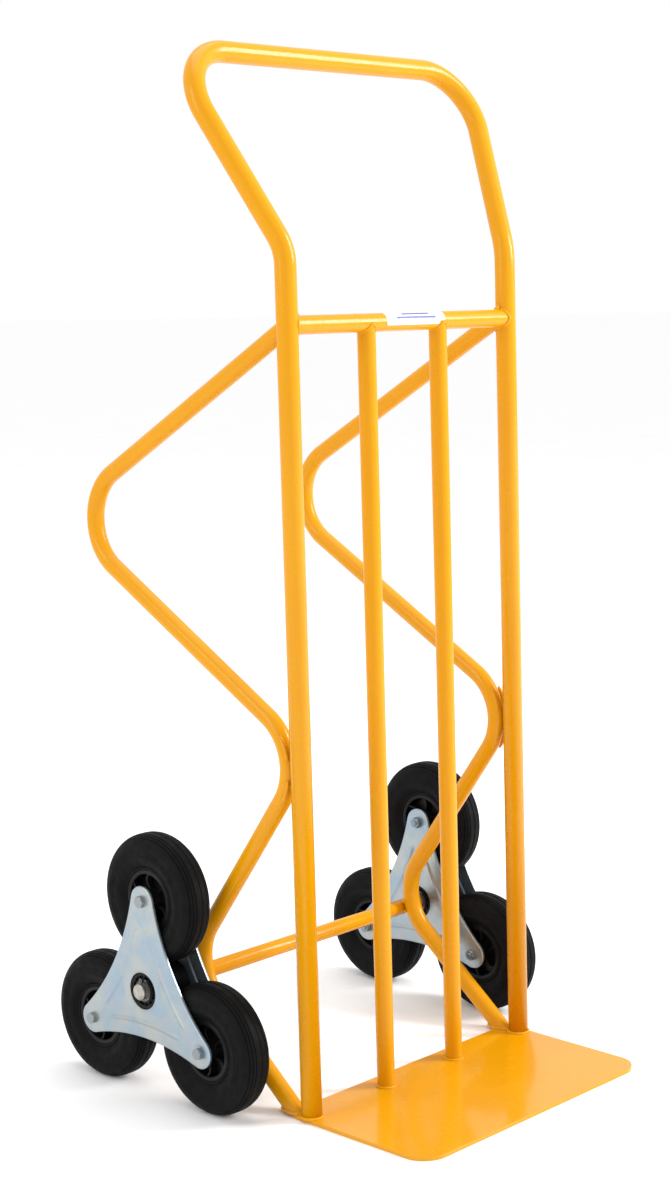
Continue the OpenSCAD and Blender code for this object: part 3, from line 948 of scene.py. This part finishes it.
def plate_height(point, edge_distance, far, edge_r):
    """Height of the pressed sheet's outer face: rolled rim, three beads, bolt seats, hub collar."""
    height = 0.0
    for number in range(3):
        centre = toward((number + 0.5) * ARM_ANGLE) * far
        radial = (point - centre).length - (edge_r + BEAD_INSET)
        bearing = abs((point - centre).angle(-centre))
        along = smooth_step((BEAD_REACH - bearing) / BEAD_FADE)
        height = max(height, BEAD_HEIGHT * along * smooth_step(1.25 - abs(radial) / BEAD_HALF))
        seat = (point - arm_centre(number)).length
        height -= SEAT_DEPTH * smooth_step((SEAT_R - seat) / SEAT_SLOPE)
    collar = point.length - HUB_HOLE_R
    height += COLLAR_HEIGHT * smooth_step(1.0 - collar / COLLAR_WIDTH)
    if edge_distance < RIM_ROUND:
        height -= RIM_ROUND * (1 - math.sqrt(max(1 - (1 - edge_distance / RIM_ROUND) ** 2, 0.0)))
    return height


def circle(centre, radius, steps):
    """A ring of points round a centre."""
    return [Vector(p) for p in arc(centre, radius, 0, 360, steps)[:-1]]


def sheet_points(outline):
    """Mesh points of the flat sheet and the edges of its outline and its four holes."""
    middle = Vector((0, 0))
    arms = [arm_centre(number) for number in range(3)]
    hub_hole = circle(middle, HUB_HOLE_R, 96)
    bolt_holes = [circle(arm, BOLT_HOLE_R, 32) for arm in arms]
    points, edges = [], []
    for loop in [outline, hub_hole] + bolt_holes:
        start = len(points)
        points += loop
        edges += [(start + i, start + (i + 1) % len(loop)) for i in range(len(loop))]
    for distance in (0.0003, RIM_ROUND, 0.0028):
        points += offset_outline(outline, distance)
    for radius in COLLAR_RINGS:
        points += circle(middle, radius, 80)
    for arm in arms:
        for radius in SEAT_RINGS:
            points += circle(arm, radius, 48)
    inner = offset_outline(outline, 0.0042)
    rows = range(-GRID_REACH, GRID_REACH + 1)
    for row in rows:
        for column in rows:
            shift = (row % 2) * GRID_STEP / 2
            point = Vector((column * GRID_STEP + shift, row * GRID_STEP * 0.866))
            near_bolt = any((point - hole[0]).length <= GRID_THIN_R for hole in bolt_holes)
            in_sheet = point.length > GRID_HUB_R and inside(point, inner)
            if in_sheet and (row % 2 or not near_bolt):
                points.append(point)
    return points, edges


def pressed_plate():
    """One pressed plate: outer face near z = 0, inner face a sheet below."""
    outline, far, edge_r = outline_of_plate()
    points, edges = sheet_points(outline)
    result = delaunay_2d_cdt(points, edges, [], 1, 1e-7)
    flat = result[0]
    holes = [(Vector((0, 0)), HUB_HOLE_R)] + [(arm_centre(k), BOLT_HOLE_R) for k in range(3)]
    triangles = []
    for corners in result[2]:
        middle = sum((flat[i] for i in corners), Vector((0, 0))) / 3
        if all((middle - centre).length > radius for centre, radius in holes):
            triangles.append(tuple(corners))
    heights = []
    for point in flat:
        near_rim = point.length > RIM_FREE_R
        nearest = min((point - q).length for q in outline) if near_rim else 1.0
        heights.append(plate_height(point, nearest, far, edge_r))
    count = len(flat)
    vertices = [(p.x, p.y, z - drop) for drop in (0.0, SHEET) for p, z in zip(flat, heights)]
    faces = triangles + [tuple(i + count for i in reversed(t)) for t in triangles]
    used = [edge for a, b, c in triangles for edge in ((a, b), (b, c), (c, a))]
    shared = set(used)
    for a, b in used:
        if (b, a) not in shared:
            faces.append((a, b, b + count, a + count))
    return vertices, faces


def cluster_plates(plate):
    """Outer and inner zinc plates of both clusters, the inner one facing the truck."""
    lift = lifted(PLATE_PAIR / 2 - 0.00002)
    for name, side in SIDES.items():
        for place_name, facing in (("outer", 1), ("inner", -1)):
            shape = Shape()
            mirror = Matrix.Scale(facing, 4, (0, 0, 1))
            shape.add(*plate, place=at_cluster(side) @ mirror @ lift)
            piece = shape.piece(f"{name}_{place_name}_pressed_plate", ZINC_PLATE, smooth_angle=50.0)
            stand_for(piece, f"{name}_{place_name}_plate", f"{name}_cluster")


def hex_solid(height, chamfer_bottom, bore=0.0):
    """A hexagonal head or nut on z = 0, with chamfers and an optional bore."""
    around = 96
    flat = HEX_WIDTH / 2
    face_r = flat * 0.94
    slope = math.tan(math.radians(30))
    inner = bore or TIP_R
    dimple = 0.0 if bore else 0.0002
    rings = []

    def ring(radius_of, height_of):
        points = []
        for j in range(around):
            angle = 2 * math.pi * j / around
            off = (angle + math.pi / 6) % (math.pi / 3) - math.pi / 6
            radius = radius_of(flat / math.cos(off))
            points.append(polar(radius, angle, height_of(radius)))
        rings.append(points)

    ring(lambda r: inner, lambda r: 0.0)
    if chamfer_bottom:
        ring(lambda r: face_r, lambda r: 0.0)
        ring(lambda r: r, lambda r: (r - face_r) * slope)
    else:
        ring(lambda r: r, lambda r: 0.0)
    ring(lambda r: r, lambda r: height - (r - face_r) * slope)
    ring(lambda r: face_r, lambda r: height)
    ring(lambda r: face_r * 0.9, lambda r: height)
    ring(lambda r: inner, lambda r: height - dimple)
    return [p for r in rings for p in r], ring_grid(rings, around, closed=bool(bore))


def threaded_rod(start, end):
    """A rod from start to end along Z with a helical thread and a chamfered far end."""
    around = 48
    per_turn = 12
    thread_depth = 0.00055
    tip_share = 0.80
    steps = int(abs(end - start) / THREAD_PITCH * per_turn)
    rings = []
    for i in range(steps + 1):
        z = start + (end - start) * i / steps
        taper = smooth_step((steps - i) / per_turn * 1.2)
        points = []
        for j in range(around):
            share = j / around
            phase = (i / per_turn + share) % 1.0
            depth = thread_depth * (1 - abs(2 * phase - 1))
            r = (THREAD_R - depth) * (tip_share + (1 - tip_share) * taper)
            points.append(polar(r, 2 * math.pi * share, z))
        rings.append(points)
    return [p for r in rings for p in r], ring_grid(rings, around)


def add_bolt(shape, place):
    """A wheel bolt: washer face and hexagon head outside, plain shank, threaded tail inside."""
    half = PLATE_PAIR / 2
    head = place @ lifted(half - SEAT_DEPTH)
    washer_face = [(TIP_R, 0.0), (0.0062, 0.0), (0.0062, 0.0005), (TIP_R, 0.0005)]
    shape.add(*turned(washer_face), place=head)
    shape.add(*hex_solid(0.0053, chamfer_bottom=False), place=head @ lifted(0.0004))
    shank = [(TIP_R, -half), (SHANK_R, -half), (SHANK_R, half), (TIP_R, half)]
    shape.add(*turned(shank, around=48), place=place)
    shape.add(*threaded_rod(0.0005 - half, -half - TAIL), place=place)


def cluster_fasteners():
    """Wheel bolts, nuts and spacer sleeves of both clusters."""
    nut_low = -PLATE_PAIR / 2 - 0.0064
    wall = [(SLEEVE_BORE, -SLEEVE_HALF), (SLEEVE_R, -SLEEVE_HALF)]
    sleeve = wall + [(r, -z) for r, z in wall[::-1]]
    for name, side in SIDES.items():
        bolts, nuts, sleeves = Shape(), Shape(), Shape()
        for number in range(3):
            random.seed(100 * side + number)
            spin = Matrix.Rotation(random.uniform(0, math.pi / 3), 4, "Z")
            place = arm_place(side, number) @ spin
            add_bolt(bolts, place)
            nut = hex_solid(0.0065, chamfer_bottom=True, bore=THREAD_R + 0.00005)
            nuts.add(*nut, place=place @ lifted(nut_low))
            sleeves.add(*turned(sleeve, around=64, closed=True), place=place)
        for shape, word in ((bolts, "wheel_bolts"), (nuts, "bolt_nuts"), (sleeves, "spacer_sleeves")):
            piece = shape.piece(f"{name}_{word}_detail", SHADED_ZINC_FASTENER, smooth_angle=28.0)
            stand_for(piece, f"{name}_{word}", f"{name}_cluster")


def hub_end_profile(end):
    """The section of one end of a hub bush: bore lip, ring-shaped pocket, spigot and shoulder."""
    half = PLATE_PAIR / 2 - BUSH_INSET
    shoulder = PLATE_PAIR / 2 - SHEET
    bore = AXLE_R + BUSH_FIT
    spigot = HUB_HOLE_R - BUSH_FIT
    lip, pocket = half - 0.0003, half - POCKET_DEPTH
    section = [
        (bore, half - 0.0004), (bore + 0.0004, half),
        (0.0148, half), (0.0152, lip), (0.0154, pocket), (0.0186, pocket), (0.0188, lip), (0.0192, half),
        (spigot - 0.0007, half), (spigot, half - 0.0007),
        (spigot, shoulder), (BARREL_R - 0.0005, shoulder), (BARREL_R, shoulder - 0.0005),
    ]
    return [(radius, end * z) for radius, z in section]


def add_hub_ribs(shape, place):
    """Twelve small ribs across the ring-shaped pocket at one end of a hub bush."""
    half = PLATE_PAIR / 2 - BUSH_INSET
    heights = (half - POCKET_DEPTH - 0.0001, half - 0.0006)
    rib = [(x, y, z) for x in (0.0151, 0.0190) for y in (-0.0005, 0.0005) for z in heights]
    rib_count = 12
    for k in range(rib_count):
        turn = Matrix.Rotation(2 * math.pi * k / rib_count, 4, "Z")
        shape.add(rib, BOX_FACES, place=place @ turn)


def hub_bushes():
    """Stepped nylon hubs with a moulded pocket round the axle and small ribs in it."""
    barrel = [(BARREL_R - 0.0014, z) for z in (-0.012, 0.012)]
    profile = hub_end_profile(-1) + barrel + hub_end_profile(1)[::-1]
    for name, side in SIDES.items():
        shape = Shape()
        shape.add(*turned(profile, closed=True), place=at_cluster(side))
        for end in (-1, 1):
            add_hub_ribs(shape, at_cluster(side) @ Matrix.Scale(end, 4, (0, 0, 1)))
        piece = shape.piece(f"{name}_hub_bush_detail", NYLON)
        stand_for(piece, f"{name}_hub_bush", f"{name}_cluster")


# ---- wheels ----

def tyre_profile():
    """A closed (radius, width) section: rounded crown, ringed sidewalls, bead at the rim."""
    crown = TYRE_HALF - SHOULDER_R
    side_start, side_end = RIM_R + SHOULDER_R, WHEEL_R - SHOULDER_R
    half = [(RIM_R, 0.0), (RIM_R, 0.0158), (RIM_R + 0.0008, 0.0166)]
    half += [(RIM_R + 0.0030, 0.0168), (RIM_R + 0.0038, 0.0160), (RIM_R + 0.0046, 0.0170)]
    half += arc((side_start, crown), SHOULDER_R, 130, 96, 8)
    groove_bottom = TYRE_HALF - SIDE_GROOVE
    for ring in range(3):
        at = side_start + (side_end - side_start) * (ring + 0.5) / 3
        half += [(at - 0.0011, TYRE_HALF), (at - 0.0005, groove_bottom)]
        half += [(at + 0.0005, groove_bottom), (at + 0.0011, TYRE_HALF)]
    half += arc((side_end, crown), SHOULDER_R, 88, 50, 9)
    for angle in TREAD_GROOVE_ANGLES:
        half += arc((side_end, crown), SHOULDER_R, angle + 4, angle + 1, 2)
        half += arc((side_end, crown), SHOULDER_R - TREAD_GROOVE, angle - 1, angle - 3, 2)
        half += arc((side_end, crown), SHOULDER_R, angle - 5, angle - 6, 1)
    line_bottom = WHEEL_R - 0.0008
    half += [(WHEEL_R, crown), (WHEEL_R, 0.0016), (line_bottom, 0.0010), (line_bottom, 0.0)]
    return half + [(r, -w) for r, w in reversed(half[1:-1])]


def curved_rib():
    """A rib from the hub to the flange that curves sideways and swells at both ends."""
    steps = 12
    start, end = 0.0118, 0.0316
    web_side = 0.002
    round_off = 0.0005
    vertices = []
    for i in range(steps + 1):
        share = i / steps
        radius = start + (end - start) * share
        bow = math.radians(10) * math.sin(math.pi * share)
        half = 0.0013 + 0.0011 * (2 * share - 1) ** 2
        top = 0.0120 + 0.0020 * share
        edge = [(half, web_side), (half * 0.9, top - round_off), (half * 0.6, top)]
        for across, z in [(-across, z) for across, z in edge] + edge[::-1]:
            vertices.append(polar(radius, bow + across / radius, z))
    return vertices, ring_grid(range(steps + 1), 6)


def rim_shape(shape, place):
    """One moulded rim: hub with a lip, dished web, six curved ribs a side and a rim flange."""
    bore = SLEEVE_R + 0.00005
    hub = [(bore, -0.0225), (bore + 0.0006, -0.023), (0.0105, -0.023), (0.0112, -0.0224)]
    web = [(0.0122, -0.017), (0.0138, -0.0062), (0.0150, -0.0042), (0.0200, -0.0032), (0.0292, -0.0032)]
    flange = [(0.0306, -0.0046), (0.0314, -0.0150), (0.0320, -0.0157), (0.0362, -0.0160), (0.0369, -0.0154)]
    profile = hub + web + flange
    loop = profile + [(r, -z) for r, z in reversed(profile)]
    shape.add(*turned(loop, closed=True), place=place)
    rib_count = 6
    for end in (-1, 1):
        mirror = Matrix.Scale(end, 4, (0, 0, 1))
        for k in range(rib_count):
            turn = Matrix.Rotation(2 * math.pi * k / rib_count, 4, "Z")
            shape.add(*curved_rib(), place=place @ mirror @ turn)


def wheels():
    """Six tyres and six rims, each riding on its own wheel body."""
    tyre_mesh = turned(tyre_profile(), around=160, closed=True)
    for name, side in SIDES.items():
        for number, arm in enumerate(ARMS):
            place = arm_place(side, number)
            body = f"{name}_{arm}_wheel"
            tyre = Shape()
            tyre.add(*tyre_mesh, place=place)
            piece = tyre.piece(f"{name}_{arm}_tyre_detail", RUBBER, smooth_angle=40.0)
            stand_for(piece, f"{name}_{arm}_tyre", body)
            rim = Shape()
            rim_shape(rim, place)
            piece = rim.piece(f"{name}_{arm}_rim_detail", RIM_PLASTIC)
            stand_for(piece, f"{name}_{arm}_rim", body)


# ---- studio ----

def floor():
    """A broad pale floor; it isn't part of the truck."""
    half = 80.0
    corners = [(-half, -half, 0), (half, -half, 0), (half, half, 0), (-half, half, 0)]
    piece = make_piece("studio_floor", corners, [(0, 1, 2, 3)], floor_paper())


def soft_box(name, location, size, power):
    """A large area light that faces the middle of the truck."""
    data = bpy.data.lights.new(name, "AREA")
    data.shape = "RECTANGLE"
    data.size, data.size_y = size
    data.energy = power
    light = bpy.data.objects.new(name, data)
    light.location = location
    aim = (TRUCK_MIDDLE - Vector(location)).to_track_quat("-Z", "Y")
    light.rotation_euler = aim.to_euler()
    bpy.context.scene.collection.objects.link(light)


def studio_light():
    """A white surround, a strong soft box ahead on the right and weak ones on the left and above."""
    world = bpy.data.worlds.new("studio")
    world.use_nodes = True
    background = world.node_tree.nodes["Background"]
    background.inputs["Color"].default_value = (1.0, 1.0, 1.0, 1.0)
    background.inputs["Strength"].default_value = 1.0
    bpy.context.scene.world = world
    soft_box("key", (2.5, -2.4, 2.3), size=(1.1, 2.0), power=150.0)
    soft_box("side", (-3.0, 0.8, 2.0), size=(1.0, 2.4), power=26.0)
    soft_box("top", (0.2, 0.4, 3.4), size=(2.0, 2.0), power=22.0)


def camera():
    """The camera stands ahead and to the left of the truck, a little above the crossbar."""
    azimuth, elevation, roll = (math.radians(angle) for angle in (-46.38, 8.55, -0.78))
    location = Vector((-1.9368, -1.7062, 0.9852))
    level = Matrix.Rotation(azimuth, 4, "Z") @ Matrix.Rotation(math.pi / 2 - elevation, 4, "X")
    data = bpy.data.cameras.new("camera")
    data.sensor_width = 36.0
    data.lens = 64.57
    data.shift_x = 0.0016
    data.shift_y = 0.0039
    data.clip_end = 60.0
    piece = bpy.data.objects.new("camera", data)
    piece.matrix_world = Matrix.Translation(location) @ level @ Matrix.Rotation(roll, 4, "Z")
    bpy.context.scene.collection.objects.link(piece)
    bpy.context.scene.camera = piece


# ---- build ----

tubes()
toe_plate()
frame_welds()
label()
axle()
axle_clips()
cluster_plates(pressed_plate())
cluster_fasteners()
hub_bushes()
wheels()
floor()
studio_light()
camera()
bpy.context.scene.view_settings.view_transform = "Standard"
